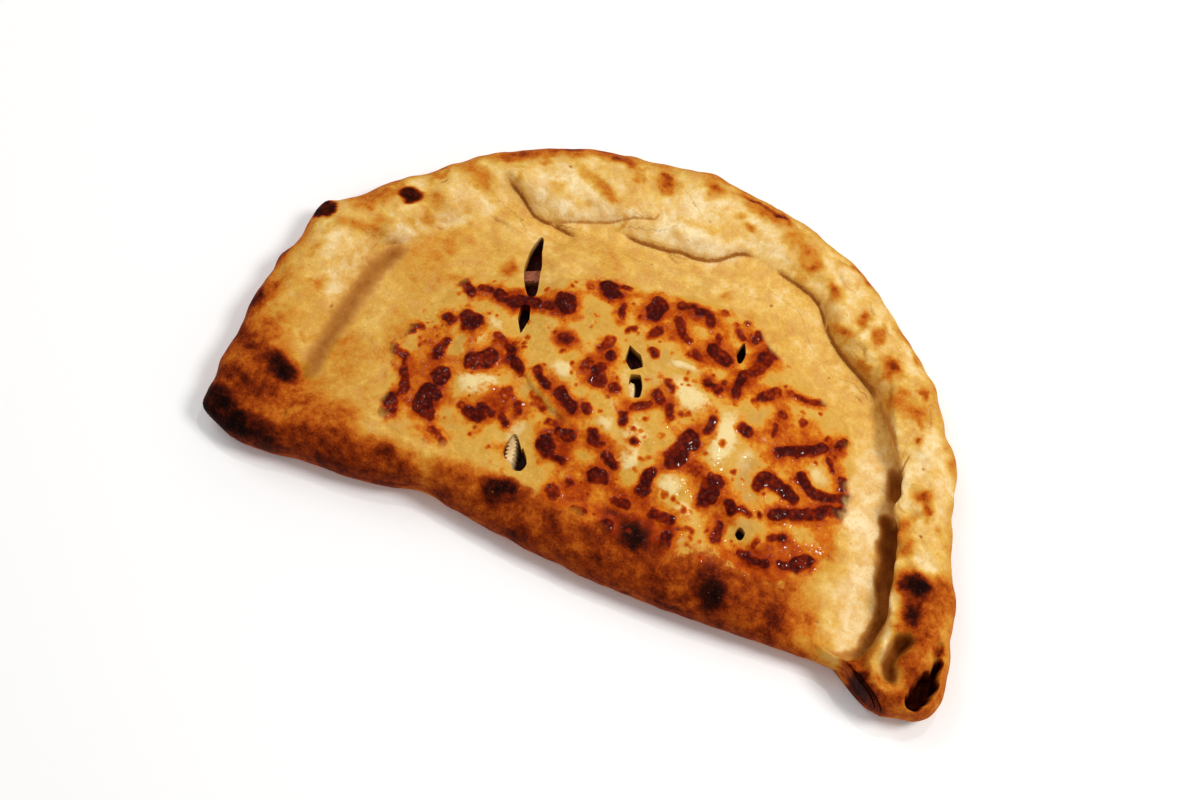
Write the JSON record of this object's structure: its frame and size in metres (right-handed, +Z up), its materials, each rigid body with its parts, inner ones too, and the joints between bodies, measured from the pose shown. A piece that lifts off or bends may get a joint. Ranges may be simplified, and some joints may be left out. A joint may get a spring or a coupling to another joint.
{
  "type": "calzone",
  "caption": "Baked calzone: a folded half-moon of pizza dough with a rolled rim, steam slits that show the filling, and browned melted cheese on top.",
  "frame": {"origin": "on the surface the calzone rests on, under the middle of its box", "axes": "+X along the straight fold, +Y from the fold towards the rounded rim, +Z up"},
  "size_m": [0.276, 0.1632, 0.0328],
  "materials": {
    "baked_dough": "satin",
    "tomato_filling": "satin",
    "melted_cheese": "gloss"
  },
  "bodies": {
    "root": {"dough": "baked_dough", "filling": "tomato_filling", "cheese": "melted_cheese"}
  },
  "joints": []
}
